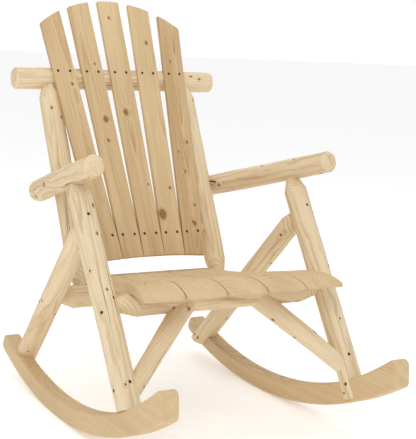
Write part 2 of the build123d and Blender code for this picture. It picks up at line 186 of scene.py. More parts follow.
class LogChairColours(bpy.types.PropertyGroup):
    sapwood: bpy.props.FloatVectorProperty(
        name="Sapwood", description="Palest wood of the logs",
        default=(0.80, 0.665, 0.455), min=0.0, max=1.0, size=3, subtype="COLOR")
    heartwood: bpy.props.FloatVectorProperty(
        name="Heartwood", description="Warmer wood of the logs in broad bands",
        default=(0.66, 0.46, 0.23), min=0.0, max=1.0, size=3, subtype="COLOR")
    board_sapwood: bpy.props.FloatVectorProperty(
        name="Board Sapwood", description="Palest wood of the sawn boards",
        default=(0.69, 0.525, 0.305), min=0.0, max=1.0, size=3, subtype="COLOR")
    board_heartwood: bpy.props.FloatVectorProperty(
        name="Board Heartwood", description="Warmer wood of the sawn boards",
        default=(0.50, 0.33, 0.155), min=0.0, max=1.0, size=3, subtype="COLOR")
    ring: bpy.props.FloatVectorProperty(
        name="Ring", description="Dark late wood of each growth ring",
        default=(0.38, 0.215, 0.085), min=0.0, max=1.0, size=3, subtype="COLOR")
    bark: bpy.props.FloatVectorProperty(
        name="Inner Bark", description="Tan inner bark that the peeling left",
        default=(0.42, 0.26, 0.115), min=0.0, max=1.0, size=3, subtype="COLOR")
    knot: bpy.props.FloatVectorProperty(
        name="Knot", description="Heart of a knot",
        default=(0.20, 0.085, 0.03), min=0.0, max=1.0, size=3, subtype="COLOR")
    steel: bpy.props.FloatVectorProperty(
        name="Screw Steel", description="Dark coating of the screws",
        default=(0.06, 0.05, 0.045), min=0.0, max=1.0, size=3, subtype="COLOR")
    floor: bpy.props.FloatVectorProperty(
        name="Floor", description="Studio floor",
        default=(0.93, 0.93, 0.93), min=0.0, max=1.0, size=3, subtype="COLOR")


# ================================================================ material nodes
class Graph:
    """Adds nodes to one material, each call giving back the socket it makes."""

    def __init__(self, name):
        self.material = bpy.data.materials.new(name)
        self.material.use_nodes = True
        self.tree = self.material.node_tree
        self.shader = self.tree.nodes["Principled BSDF"]

    def add(self, kind, inputs, **settings):
        node = self.tree.nodes.new(kind)
        for key, value in settings.items():
            setattr(node, key, value)
        for key, value in inputs.items():
            if isinstance(value, bpy.types.NodeSocket):
                self.tree.links.new(value, node.inputs[key])
            else:
                node.inputs[key].default_value = value
        return node

    def maths(self, operation, a, b=0.0, c=0.0):
        node = self.add("ShaderNodeMath", {0: a, 1: b, 2: c}, operation=operation)
        return node.outputs[0]

    def vector(self, operation, a, b=(0.0, 0.0, 0.0)):
        node = self.add("ShaderNodeVectorMath", {0: a, 1: b}, operation=operation)
        return node.outputs["Value" if operation in ("LENGTH", "DISTANCE") else "Vector"]

    def noise(self, place, scale, detail=2.0, output="Fac"):
        node = self.add("ShaderNodeTexNoise",
                        {"Vector": place, "Scale": scale, "Detail": detail})
        return node.outputs[output]

    def span(self, value, low, high, to_low=0.0, to_high=1.0):
        """Smooth step of a value from one range to another."""
        node = self.add("ShaderNodeMapRange",
                        {"Value": value, "From Min": low, "From Max": high,
                         "To Min": to_low, "To Max": to_high},
                        interpolation_type="SMOOTHSTEP")
        return node.outputs["Result"]

    def ramp(self, value, stops):
        node = self.add("ShaderNodeValToRGB", {"Fac": value})
        marks = node.color_ramp.elements
        for _ in stops[2:]:
            marks.new(0.5)
        for mark, (position, grey) in zip(marks, stops):
            mark.position = position
            mark.color = (grey, grey, grey, 1.0)
        return node.outputs["Color"]

    def mix(self, share, a, b):
        node = self.tree.nodes.new("ShaderNodeMix")
        node.data_type = "RGBA"
        for index, value in ((0, share), (6, a), (7, b)):
            if isinstance(value, bpy.types.NodeSocket):
                self.tree.links.new(value, node.inputs[index])
            else:
                node.inputs[index].default_value = value
        return node.outputs[2]


def rgba(colour, shade=1.0):
    return (colour[0] * shade, colour[1] * shade, colour[2] * shade, 1.0)


def wood(name, base, rings=0.0034, pith=(0.0, 0.0), tilt=(0.0, 0.0), wander=0.006,
         warmth=0.5, contrast=0.6, bark=0.0, knots=(), cracks_with_painted_shade=(), seed=0.0,
         board=False):
    """Growth rings about the piece's own pith. base is the piece's frame, +Z its grain.

    knots are (x, y, z, radius) and the drying cracks (turn, from z, to z, width) in that frame;
    a crack is sunk by the bump, and the dark line along it is painted shade.
    """
    tones = bpy.context.scene.log_chair_colours
    g = Graph(name)
    spot = g.add("ShaderNodeTexCoord", {}).outputs["Object"]
    local = g.add("ShaderNodeMapping",
                  {"Vector": spot, "Location": base.to_translation(),
                   "Rotation": base.to_euler()}, vector_type="TEXTURE").outputs[0]
    lean = Matrix.Rotation(tilt[0], 4, "X") @ Matrix.Rotation(tilt[1], 4, "Y")
    heart = g.add("ShaderNodeMapping",
                  {"Vector": local, "Location": (pith[0], pith[1], 0.0),
                   "Rotation": lean.to_euler()}, vector_type="TEXTURE").outputs[0]
    shifted = g.vector("ADD", heart, (seed * 1.7, seed * 2.3, seed * 3.1))
    drawn = g.vector("MULTIPLY", shifted, (1.0, 1.0, 0.16))
    sway = g.noise(drawn, 7.0, 2.0, "Color")
    sway = g.vector("SUBTRACT", sway, (0.5, 0.5, 0.5))
    sway = g.vector("MULTIPLY", sway, (wander * 2, wander * 2, 0.0))
    flat = g.vector("MULTIPLY", g.vector("ADD", heart, sway), (1.0, 1.0, 0.0))
    radius = g.vector("LENGTH", flat)
    ripple = g.maths("SUBTRACT", g.noise(drawn, 55.0, 3.0), 0.5)
    radius = g.maths("MULTIPLY_ADD", ripple, 0.0032, radius)

    core, halo = None, None
    for x, y, z, size in knots:
        gap = g.vector("SUBTRACT", local, (x, y, z))
        gap = g.vector("LENGTH", g.vector("MULTIPLY", gap, (1.0, 1.0, 0.72)))
        push = g.span(gap, 0.0, size * 3.2, size * 1.3, 0.0)
        radius = g.maths("ADD", radius, push)
        heart_of = g.span(gap, size * 0.75, size * 1.05, 1.0, 0.0)
        ring_of = g.span(gap, size * 0.95, size * 1.6, 1.0, 0.0)
        core = heart_of if core is None else g.maths("MAXIMUM", core, heart_of)
        halo = ring_of if halo is None else g.maths("MAXIMUM", halo, ring_of)

    years = g.maths("DIVIDE", radius, rings)
    late = g.ramp(g.maths("FRACT", years),
                  [(0.0, 0.10), (0.10, 0.0), (0.55, 0.18), (0.86, 1.0), (0.95, 0.85),
                   (1.0, 0.10)])
    faint = g.span(g.noise(drawn, 16.0, 2.0), 0.35, 0.68, 0.25, 1.0)
    late = g.maths("MULTIPLY", late, faint)
    decades = g.noise(g.add("ShaderNodeCombineXYZ",
                            {"X": g.maths("DIVIDE", radius, rings * 3.3),
                             "Y": seed}).outputs[0], 1.0, 1.0)
    broad = g.noise(g.vector("MULTIPLY", shifted, (1.0, 1.0, 0.10)), 24.0, 3.0)
    warm = g.maths("ADD", g.span(broad, 0.30, 0.72, 0.0, 0.62),
                   g.span(decades, 0.35, 0.70, 0.0, 0.38))
    pale = tones.board_sapwood if board else tones.sapwood
    deep = tones.board_heartwood if board else tones.heartwood
    colour = g.mix(g.maths("MULTIPLY", warm, warmth), rgba(pale), rgba(deep))
    colour = g.mix(g.maths("MULTIPLY", late, contrast), colour, rgba(tones.ring))
    if bark:
        patch = g.noise(g.vector("MULTIPLY", shifted, (1.0, 1.0, 0.13)), 42.0, 4.0)
        patch = g.maths("MULTIPLY", g.span(patch, 0.56, 0.74), bark)
        colour = g.mix(patch, colour, rgba(tones.bark))
    fibre = g.noise(g.vector("MULTIPLY", shifted, (1.0, 1.0, 0.02)), 620.0, 3.0)
    colour = g.mix(g.span(fibre, 0.42, 0.80, 0.0, 0.30), colour, rgba(tones.bark))
    pores = g.noise(g.vector("MULTIPLY", shifted, (1.0, 1.0, 0.045)), 260.0, 2.0)
    colour = g.mix(g.span(pores, 0.62, 0.80, 0.0, 0.35), colour, rgba(tones.ring))
    if core is not None:
        colour = g.mix(g.maths("MULTIPLY", halo, 0.40), colour, rgba(tones.ring))
        eye = g.noise(local, 420.0, 2.0)
        dark = g.mix(g.span(eye, 0.35, 0.7), rgba(tones.knot), rgba(tones.ring))
        colour = g.mix(core, colour, dark)
    relief = g.maths("MULTIPLY_ADD", fibre, 0.5, g.maths("MULTIPLY", late, 0.35))
    # each drying crack is a line sunk by the bump, and its dark colour is painted shade
    # standing for the shadow inside the crack
    for turn, z_from, z_to, width in cracks_with_painted_shade:
        across = (-sin(turn), cos(turn), 0.0)
        wavy = g.maths("MULTIPLY_ADD", ripple, 0.010,
                       g.add("ShaderNodeVectorMath", {0: local, 1: across},
                             operation="DOT_PRODUCT").outputs["Value"])
        inward = g.add("ShaderNodeVectorMath",
                       {0: local, 1: (cos(turn), sin(turn), 0.0)},
                       operation="DOT_PRODUCT").outputs["Value"]
        height = g.add("ShaderNodeSeparateXYZ", {0: local}).outputs["Z"]
        middle, half = (z_from + z_to) / 2, abs(z_to - z_from) / 2
        away = g.maths("ABSOLUTE", g.maths("SUBTRACT", height, middle))
        slim = g.span(away, 0.0, half, width, 0.0)
        line = g.span(g.maths("SUBTRACT", g.maths("ABSOLUTE", wavy), slim),
                      -0.0002, 0.0002, 1.0, 0.0)
        line = g.maths("MULTIPLY", line, g.span(away, half * 0.97, half, 1.0, 0.0))
        line = g.maths("MULTIPLY", line, g.span(inward, 0.002, 0.004))
        # painted shade: the crack line is coloured 0.6 of the knot colour, as dark as the shade
        # deep in the crack
        colour = g.mix(line, colour, rgba(tones.knot, 0.6))
        relief = g.maths("MULTIPLY_ADD", line, -3.0, relief)
    g.tree.links.new(colour, g.shader.inputs["Base Color"])
    rough = g.span(g.noise(drawn, 90.0, 2.0), 0.3, 0.7, 0.52, 0.72)
    g.tree.links.new(rough, g.shader.inputs["Roughness"])
    g.shader.inputs["Specular IOR Level"].default_value = 0.35
    bump = g.add("ShaderNodeBump", {"Height": relief, "Strength": 0.55, "Distance": 0.0006})
    g.tree.links.new(bump.outputs[0], g.shader.inputs["Normal"])
    return g.material


def coated_steel():
    tones = bpy.context.scene.log_chair_colours
    g = Graph("coated_screw_steel")
    spot = g.add("ShaderNodeTexCoord", {}).outputs["Object"]
    worn = g.span(g.noise(spot, 900.0, 3.0), 0.45, 0.75)
    colour = g.mix(worn, rgba(tones.steel), rgba(tones.steel, 2.6))
    g.tree.links.new(colour, g.shader.inputs["Base Color"])
    g.tree.links.new(g.span(worn, 0.0, 1.0, 0.42, 0.60), g.shader.inputs["Roughness"])
    g.shader.inputs["Metallic"].default_value = 0.85
    return g.material


def plain(name, colour, roughness, glow=0.0):
    g = Graph(name)
    spot = g.add("ShaderNodeTexCoord", {}).outputs["Object"]
    soft = g.span(g.noise(spot, 1.3, 2.0), 0.3, 0.7, 0.985, 1.0)
    g.tree.links.new(g.mix(soft, rgba(colour, 0.98), rgba(colour)),
                     g.shader.inputs["Base Color"])
    g.shader.inputs["Roughness"].default_value = roughness
    g.shader.inputs["Emission Color"].default_value = rgba(colour)
    g.shader.inputs["Emission Strength"].default_value = glow
    return g.material


# ================================================================ shaping
def deselect():
    bpy.ops.object.select_all(action="DESELECT")


def activate(piece):
    deselect()
    piece.select_set(True)
    bpy.context.view_layer.objects.active = piece


def pick(piece, test):
    """In edit mode, selects the faces whose centre and normal pass the test."""
    bpy.ops.mesh.select_mode(type="FACE")
    mesh = bmesh.from_edit_mesh(piece.data)
    for face in mesh.faces:
        face.select_set(bool(test(face.calc_center_median(), face.normal)))
    mesh.select_flush_mode()
    bmesh.update_edit_mesh(piece.data)


def pick_edges(piece, test):
    """In edit mode, selects the edges whose middle and direction pass the test."""
    bpy.ops.mesh.select_mode(type="EDGE")
    mesh = bmesh.from_edit_mesh(piece.data)
    for edge in mesh.edges:
        a, b = edge.verts[0].co, edge.verts[1].co
        edge.select_set(bool(test((a + b) / 2, (b - a).normalized())))
    bmesh.update_edit_mesh(piece.data)


def settle(piece, matrix):
    """Puts a finished mesh in its place and leaves its object at the origin."""
    piece.matrix_world = matrix
    activate(piece)
    bpy.ops.object.transform_apply(location=True, rotation=True, scale=True)


def finish_modifier(piece, kind, **settings):
    modifier = piece.modifiers.new(kind.lower(), kind)
    for key, value in settings.items():
        setattr(modifier, key, value)
    activate(piece)
    bpy.ops.object.modifier_apply(modifier=modifier.name)


def carve(piece, cutter, operation="DIFFERENCE"):
    finish_modifier(piece, "BOOLEAN", operation=operation, object=cutter, solver="EXACT")


def scrap(*tools):
    for tool in tools:
        bpy.data.objects.remove(tool, do_unlink=True)


def mirrored(point, side):
    return Vector((point[0] * side, point[1], point[2]))


def log_base(start, end, facing):
    """Frame of a log: +Z along it from start, +X on the side that faces that way."""
    along = (end - start).normalized()
    front = (facing - along * facing.dot(along)).normalized()
    side = along.cross(front)
    turn = Matrix((front, side, along)).transposed().to_4x4()
    return Matrix.Translation(start) @ turn


def turned_log(name, start, end, stations, seed, facing=Vector((0, -1, 0)), domed=0.003,
               steps=3, sides=64):
    """Peeled log through (distance, radius) stations; gives the piece and its frame."""
    peel = bpy.context.scene.log_chair_sizes.peel_depth
    chance = random.Random(seed)
    deselect()
    bpy.ops.mesh.primitive_circle_add(vertices=sides, radius=stations[0][1],
                                      fill_type="NGON", location=(0, 0, stations[0][0]))
    piece = bpy.context.active_object
    piece.name = name
    bpy.ops.object.transform_apply(location=True)
    bpy.ops.object.mode_set(mode="EDIT")
    bpy.ops.mesh.select_all(action="SELECT")
    for (low, r_low), (high, r_high) in zip(stations, stations[1:]):
        count = max(1, round((high - low) / 0.008))
        step = (high - low) / count
        for index in range(count):
            before = r_low + (r_high - r_low) * index / count
            after = r_low + (r_high - r_low) * (index + 1) / count
            grown = after / before
            z = low + step * (index + 1)
            bpy.ops.mesh.extrude_region_move(TRANSFORM_OT_translate={"value": (0, 0, step)})
            bpy.ops.transform.resize(value=(grown, grown, 1), center_override=(0, 0, z))
    bpy.ops.mesh.select_all(action="SELECT")
    bpy.ops.mesh.normals_make_consistent(inside=False)
    if domed:
        ends = (stations[0][0], stations[-1][0])
        pick(piece, lambda c, n: abs(n.z) > 0.9 and min(abs(c.z - e) for e in ends) < 1e-4)
        bpy.ops.mesh.bevel(offset=domed, segments=steps, affect="EDGES")
    bpy.ops.object.mode_set(mode="OBJECT")
    bpy.ops.object.empty_add(location=(chance.uniform(1, 9), chance.uniform(1, 9), 0),
                             rotation=(0, 0, chance.uniform(0, pi)))
    guide = bpy.context.active_object
    for scale, stretch, depth in ((0.055, 2.6, 1.3), (0.017, 5.0, 0.75),
                                  (0.0065, 3.0, 0.14)):
        texture = bpy.data.textures.new("peeling", "CLOUDS")
        texture.noise_scale = scale
        texture.noise_depth = 1
        guide.scale = (1, 1, stretch)
        bpy.context.view_layer.update()
        finish_modifier(piece, "DISPLACE", texture=texture, texture_coords="OBJECT",
                        texture_coords_object=guide, strength=peel * depth, mid_level=0.5)
        bpy.data.textures.remove(texture)
    scrap(guide)
    base = log_base(start, end, facing)
    settle(piece, base)
    return piece, base


def near_leg_lap(side, inner_x):
    """What a leg loses at its rocker: outboard of inner_x and under the rocker's top."""
    tall, wide = 0.55, 0.12
    deselect()
    bpy.ops.mesh.primitive_cube_add(
        size=1, location=(inner_x + wide / 2, 0.02, -0.055), scale=(wide, 1.10, tall))
    block = bpy.context.active_object
    bpy.ops.object.transform_apply(location=True, scale=True)
    deselect()
    bpy.ops.mesh.primitive_cylinder_add(
        vertices=360, radius=TOP_RADIUS, depth=0.4,
        location=(inner_x, *TOP_CENTRE), rotation=(0, pi / 2, 0))
    hollow = bpy.context.active_object
    bpy.ops.object.transform_apply(location=True, rotation=True)
    carve(block, hollow)
    scrap(hollow)
    contact = ROCKING_CENTRE.y
    place = (Matrix.Translation((ROCKER_X, contact, 0)) @ Matrix.Rotation(TOE_OUT, 4, "Z")
             @ Matrix.Translation((0, -contact, 0)))
    flip = Matrix.Diagonal((side, 1, 1, 1))
    settle(block, flip @ AT_REST @ place)
    if side < 0:
        turn_out(block)
    return block


def turn_out(piece):
    """Recalculates the normals of a mirrored mesh."""
    activate(piece)
    bpy.ops.object.mode_set(mode="EDIT")
    bpy.ops.mesh.select_all(action="SELECT")
    bpy.ops.mesh.remove_doubles(threshold=1e-6)
    bpy.ops.mesh.normals_make_consistent(inside=False)
    bpy.ops.object.mode_set(mode="OBJECT")


def foot_bar():
    """Round bar about the rocking centre that a leg's foot is kept inside."""
    deselect()
    bpy.ops.mesh.primitive_cylinder_add(
        vertices=360, radius=FOOT_RADIUS, depth=1.0, rotation=(0, pi / 2, 0),
        location=(0, ROCKING_CENTRE.y + CENTRE_SHIFT, ROCKING_CENTRE.z))
    bar = bpy.context.active_object
    bpy.ops.object.transform_apply(location=True, rotation=True)
    return bar


def screw_places(node):
    """(head centre, direction in) of each screw of a CAD screw group."""
    deselect()
    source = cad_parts[node]
    copy = source.copy()
    copy.data = source.data.copy()
    bpy.context.collection.objects.link(copy)
    activate(copy)
    bpy.ops.object.mode_set(mode="EDIT")
    bpy.ops.mesh.select_all(action="SELECT")
    bpy.ops.mesh.remove_doubles(threshold=1e-6)
    bpy.ops.mesh.separate(type="LOOSE")
    bpy.ops.object.mode_set(mode="OBJECT")
    places = []
    for part in list(bpy.context.selected_objects):
        points = np.array([v.co for v in part.data.vertices])
        middle = points.mean(0)
        axis = np.linalg.svd(points - middle)[2][0]
        along = (points - middle) @ axis
        reach = np.linalg.norm(points - middle - np.outer(along, axis), axis=1)
        if along[reach.argmax()] > (along.min() + along.max()) / 2:
            axis, along = -axis, -along
        head = middle + axis * along.min()
        places.append((Vector(head), Vector(axis)))
        scrap(part)
    return places


def recesses(*groups):
    """One cutter with the counterbores of these screw groups."""
    head_radius, sunk, head_height, outside = 0.00395, 0.0016, 0.0026, 0.010
    tools = []
    for group in groups:
        for head, inwards in screw_places(group):
            depth = outside + sunk + head_height
            middle = head + inwards * (head_height - depth / 2)
            deselect()
            bpy.ops.mesh.primitive_cylinder_add(
                vertices=20, radius=head_radius, depth=depth, location=middle,
                rotation=inwards.to_track_quat("Z", "Y").to_euler())
            tools.append(bpy.context.active_object)
    activate(tools[0])
    for tool in tools:
        tool.select_set(True)
    bpy.ops.object.join()
    cutter = bpy.context.active_object
    bpy.ops.object.transform_apply(location=True, rotation=True)
    return cutter


def dress(piece, node, material):
    """Gives a piece its finish and makes it stand for its CAD node."""
    piece.data.materials.clear()
    piece.data.materials.append(material)
    activate(piece)
    bpy.ops.object.shade_smooth_by_angle(angle=radians(38))
    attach(piece, "root")
    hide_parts(node)


def log_knots(node, radius, length):
    """Branch knots all round a log, seeded by its name, as (x, y, z, radius)."""
    chance = random.Random(f"{node} knots")
    knots = []
    for _ in range(round(KNOTS_PER_METRE * length)):
        turn = chance.uniform(-pi, pi)
        distance = chance.uniform(KNOT_MARGIN, length - KNOT_MARGIN)
        size = chance.triangular(SMALLEST_KNOT, LARGEST_LOG_KNOT, SMALLEST_KNOT)
        knots.append((radius * cos(turn), radius * sin(turn), distance, size))
    return knots


def log_cracks(node, length):
    """Long drying cracks of a log, seeded by its name, as (turn, from, to, width); wood() sinks
    each one and paints the shade inside it.
    """
    chance = random.Random(f"{node} cracks")
    cracks = []
    for _ in range(CRACKS_PER_LOG):
        low = length * chance.uniform(*CRACK_STARTS)
        high = low + length * chance.uniform(*CRACK_LENGTHS)
        cracks.append((chance.uniform(-pi, pi), low, high, chance.uniform(*CRACK_WIDTHS)))
    return cracks


def board_knots(node, count, largest, reach, length):
    """Knots on a board's face, the first one the largest, seeded by its name."""
    chance = random.Random(f"{node} knots")
    knots = []
    for index in range(count):
        size = largest if index == 0 else chance.uniform(SMALLEST_KNOT, largest * 0.7)
        knots.append((chance.uniform(-reach, reach), 0.0,
                      chance.uniform(KNOT_MARGIN, length - KNOT_MARGIN), size))
    return knots


def log_wood(node, base, radius, length, **look):
    """Wood of a log with the knots and drying cracks that its node has, the cracks darkened
    with painted shade.
    """
    return wood(f"{node}_wood", base, knots=log_knots(node, radius, length),
                cracks_with_painted_shade=log_cracks(node, length), **look)


# ================================================================ operators
class LOGCHAIR_OT_rockers(bpy.types.Operator):
    """Finishes the two sawn rockers"""
    bl_idname = "log_chair.rockers"
    bl_label = "Finish Rockers"

    def execute(self, context):
        for name, side in SIDES:
            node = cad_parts[f"rocker_{name}"]
            start, end = (AT_REST @ Vector((ROCKER_X * side, *place))
                          for place in ROCKER_GRAIN)
            base = log_base(start, end, Vector((0, 0, 1)))
            node.data.materials.clear()
            node.data.materials.append(
                wood(f"rocker_wood_{name}", base, rings=0.0046, board=True,
                     pith=(0.075, 0.03 * side), tilt=(0.03, 0.045), wander=0.012,
                     warmth=0.55, contrast=0.5, seed=3.1 + side))
        return {"FINISHED"}


class LOGCHAIR_OT_front_legs(bpy.types.Operator):
    """Models the front legs, lapped to the rockers and coned into the arms"""
    bl_idname = "log_chair.front_legs"
    bl_label = "Build Front Legs"

    def execute(self, context):
        r = context.scene.log_chair_sizes.leg_thickness / 2
        total = (LEG_HEAD - LEG_FOOT).length
        stations = [(0, r), (total - 0.061, r), (total - 0.029, TENON + 0.002),
                    (total - 0.008, TENON)]
        for name, side in SIDES:
            leg, base = turned_log(
                f"peeled_front_leg_{name}", AT_REST @ mirrored(LEG_FOOT, side),
                AT_REST @ mirrored(LEG_HEAD, side), stations, 11 + side)
            lap = near_leg_lap(side, LAP_NOTCH - ROCKER_THICKNESS / 2)
            bar = foot_bar()
            carve(leg, lap)
            carve(leg, bar, "INTERSECT")
            holes = recesses("rocker_lap_screws", "leg_tenon_screws", "brace_screws")
            carve(leg, holes)
            scrap(lap, bar, holes)
            dress(leg, f"front_leg_{name}",
                  log_wood(f"front_leg_{name}", base, r, total, pith=(0.004, 0.003 * side),
                       tilt=(0.012, 0.008), warmth=0.35, contrast=0.42, bark=0.35,
                       seed=1.3 + side))
        return {"FINISHED"}


class LOGCHAIR_OT_rear_legs(bpy.types.Operator):
    """Models the raking rear legs that run from the front legs to the rockers"""
    bl_idname = "log_chair.rear_legs"
    bl_label = "Build Rear Legs"

    def execute(self, context):
        r = context.scene.log_chair_sizes.hind_thickness / 2
        total = (HIND_HEAD - HIND_FOOT).length
        stations = [(0, r), (total - 0.058, r), (total - 0.030, TENON + 0.005),
                    (total - 0.006, TENON)]
        for name, side in SIDES:
            leg, base = turned_log(
                f"peeled_rear_leg_{name}", AT_REST @ mirrored(HIND_FOOT, side),
                AT_REST @ mirrored(HIND_HEAD, side), stations, 21 + side)
            lap = near_leg_lap(side, -ROCKER_THICKNESS / 2)
            bar = foot_bar()
            carve(leg, lap)
            carve(leg, bar, "INTERSECT")
            holes = recesses("rocker_lap_screws", "leg_tenon_screws")
            carve(leg, holes)
            scrap(lap, bar, holes)
            dress(leg, f"rear_leg_{name}",
                  log_wood(f"rear_leg_{name}", base, r, total, pith=(-0.006, 0.004),
                       tilt=(-0.014, 0.010), warmth=0.5, contrast=0.5, bark=0.5,
                       seed=5.7 + side))
        return {"FINISHED"}


class LOGCHAIR_OT_armrests(bpy.types.Operator):
    """Models the sloping armrests with their rounded ends"""
    bl_idname = "log_chair.armrests"
    bl_label = "Build Armrests"

    def execute(self, context):
        r = context.scene.log_chair_sizes.arm_thickness / 2
        total = (ARM_REAR - ARM_FRONT).length
        for name, side in SIDES:
            arm, base = turned_log(
                f"peeled_armrest_{name}", AT_REST @ mirrored(ARM_FRONT, side),
                AT_REST @ mirrored(ARM_REAR, side), [(0, r), (total, r + 0.0025)],
                31 + side, facing=Vector((0, 0, 1)), domed=0.009, steps=6)
            holes = recesses("armrest_screws")
            carve(arm, holes)
            scrap(holes)
            dress(arm, f"armrest_{name}",
                  log_wood(f"armrest_{name}", base, r, total, rings=0.0030,
                       pith=(-0.003, 0.002), tilt=(0.010, -0.012), warmth=0.5,
                       contrast=0.6, bark=0.45, seed=7.9 + side))
        return {"FINISHED"}


class LOGCHAIR_OT_back_posts(bpy.types.Operator):
    """Models the two back posts between the seat rail and the top rail"""
    bl_idname = "log_chair.back_posts"
    bl_label = "Build Back Posts"

    def execute(self, context):
        foot, head = Vector((POST_X, *REAR_RAIL)), Vector((POST_X, *TOP_RAIL))
        total = (head - foot).length
        stations = [(0.006, TENON), (REAR_RAIL_RADIUS, TENON + 0.004),
                    (REAR_RAIL_RADIUS + 0.042, POST_RADIUS),
                    (total - TOP_RAIL_RADIUS - 0.024, POST_RADIUS),
                    (total - TOP_RAIL_RADIUS, TENON + 0.006), (total - 0.006, TENON)]
        for name, side in SIDES:
            post, base = turned_log(
                f"peeled_back_post_{name}", AT_REST @ mirrored(foot, side),
                AT_REST @ mirrored(head, side), stations, 41 + side)
            holes = recesses("back_post_screws")
            carve(post, holes)
            scrap(holes)
            dress(post, f"back_post_{name}",
                  log_wood(f"back_post_{name}", base, POST_RADIUS, total,
                       pith=(0.005, -0.004), tilt=(0.015, 0.006), warmth=0.45,
                       contrast=0.5, bark=0.5, seed=9.4 + side))
        return {"FINISHED"}


class LOGCHAIR_OT_rails(bpy.types.Operator):
    """Models the four logs that run across the chair"""
    bl_idname = "log_chair.rails"
    bl_label = "Build Cross Rails"

    def cross_log(self, node, axis, radius, shoulder, neck, end, seed, rings):
        stations = [(0, TENON), (end - neck, TENON + 0.002), (end - shoulder, radius),
                    (end + shoulder, radius), (end + neck, TENON + 0.002), (2 * end, TENON)]
        rail, base = turned_log(f"peeled_{node}", AT_REST @ Vector((-end, *axis)),
                                AT_REST @ Vector((end, *axis)), stations, seed)
        dress(rail, node,
              log_wood(node, base, radius, 2 * end, rings=rings, pith=(0.004, 0.005),
                       tilt=(0.010, -0.014), warmth=0.65, contrast=0.55, bark=0.7,
                       seed=seed * 0.37))

    def execute(self, context):
        self.cross_log("rear_seat_rail", REAR_RAIL, REAR_RAIL_RADIUS, 0.230, 0.256,
                       0.280, 51, 0.0034)
        self.cross_log("front_seat_rail", FRONT_RAIL, FRONT_RAIL_RADIUS, 0.221, 0.272,
                       0.290, 52, 0.0036)
        share = (LOWER_RAIL_Z - REAR_RAIL[1]) / (TOP_RAIL[1] - REAR_RAIL[1])
        lower_y = REAR_RAIL[0] + (TOP_RAIL[0] - REAR_RAIL[0]) * share
        self.cross_log("lower_back_rail", (lower_y, LOWER_RAIL_Z), LOWER_RAIL_RADIUS,
                       0.150, 0.178, 0.195, 53, 0.0034)
        rail, base = turned_log(
            "peeled_top_rail", AT_REST @ Vector((-TOP_RAIL_HALF, *TOP_RAIL)),
            AT_REST @ Vector((TOP_RAIL_HALF, *TOP_RAIL)),
            [(0, TOP_RAIL_RADIUS), (2 * TOP_RAIL_HALF, TOP_RAIL_RADIUS)], 54,
            domed=0.005, steps=4)
        dress(rail, "top_rail",
              log_wood("top_rail", base, TOP_RAIL_RADIUS, 2 * TOP_RAIL_HALF,
                       pith=(0.003, -0.004), tilt=(0.012, 0.010), warmth=0.5,
                       contrast=0.5, bark=0.4, seed=12.6))
        return {"FINISHED"}


class LOGCHAIR_OT_braces(bpy.types.Operator):
    """Models the knee braces from the front legs up to the seat rail"""
    bl_idname = "log_chair.braces"
    bl_label = "Build Knee Braces"

    def execute(self, context):
        drop = (LEG_FOOT.x - BRACE_HEAD_X) * tan(BRACE_RISE)
        slope = Vector((0, LEG_HEAD.y - LEG_FOOT.y, LEG_HEAD.z - LEG_FOOT.z)).normalized()
        head = Vector((BRACE_HEAD_X, *FRONT_RAIL))
        foot = Vector((LEG_FOOT.x, head.y - drop * slope.y, head.z - drop * slope.z))
        total = (head - foot).length
        stations = [(BRACE_TRIM, BRACE_FOOT_RADIUS), (total - BRACE_TRIM, BRACE_HEAD_RADIUS)]
        for name, side in SIDES:
            brace, base = turned_log(
                f"peeled_brace_{name}", AT_REST @ mirrored(foot, side),
                AT_REST @ mirrored(head, side), stations, 61 + side)
            dress(brace, f"brace_{name}",
                  log_wood(f"brace_{name}", base, BRACE_KNOT_RADIUS, total,
                       pith=(0.006, 0.005), tilt=(-0.020, 0.012), warmth=0.35,
                       contrast=0.45, bark=0.3, seed=14.2 + side))
        return {"FINISHED"}


def slat_frame():
    """Frame of the slatted back: +Y up its slope, +Z out of its front face."""
    up = Vector((0, sin(SLAT_LEAN), cos(SLAT_LEAN)))
    out = Vector((0, -cos(SLAT_LEAN), sin(SLAT_LEAN)))
    turn = Matrix((Vector((1, 0, 0)), up, out)).transposed().to_4x4()
    return AT_REST @ Matrix.Translation((0, *SLAT_ROW)) @ turn


def slat_centre(place, s):
    share = (s - SLAT_FOOT) / (SLAT_HEAD - SLAT_FOOT)
    return place * (SLAT_FOOT_PITCH + SLAT_PITCH_GAIN * share)


def slat_width(s):
    return SLAT_FOOT_WIDTH + SLAT_WIDTH_GAIN * (s - SLAT_FOOT) / (SLAT_HEAD - SLAT_FOOT)


def tapered_board(name, low, high, x_low, x_high, w_low, w_high, thick):
    """A flat board up local Y whose top end is shifted and widened."""
    deselect()
    bpy.ops.mesh.primitive_cube_add(
        size=1, location=(x_low, (low + high) / 2, -thick / 2),
        scale=(w_low, high - low, thick))
    board = bpy.context.active_object
    board.name = name
    bpy.ops.object.transform_apply(location=True, scale=True)
    bpy.ops.object.mode_set(mode="EDIT")
    pick(board, lambda c, n: n.y > 0.9)
    bpy.ops.transform.resize(value=(w_high / w_low, 1, 1),
                             center_override=(x_low, high, -thick / 2))
    bpy.ops.transform.translate(value=(x_high - x_low, 0, 0))
    bpy.ops.object.mode_set(mode="OBJECT")
    return board


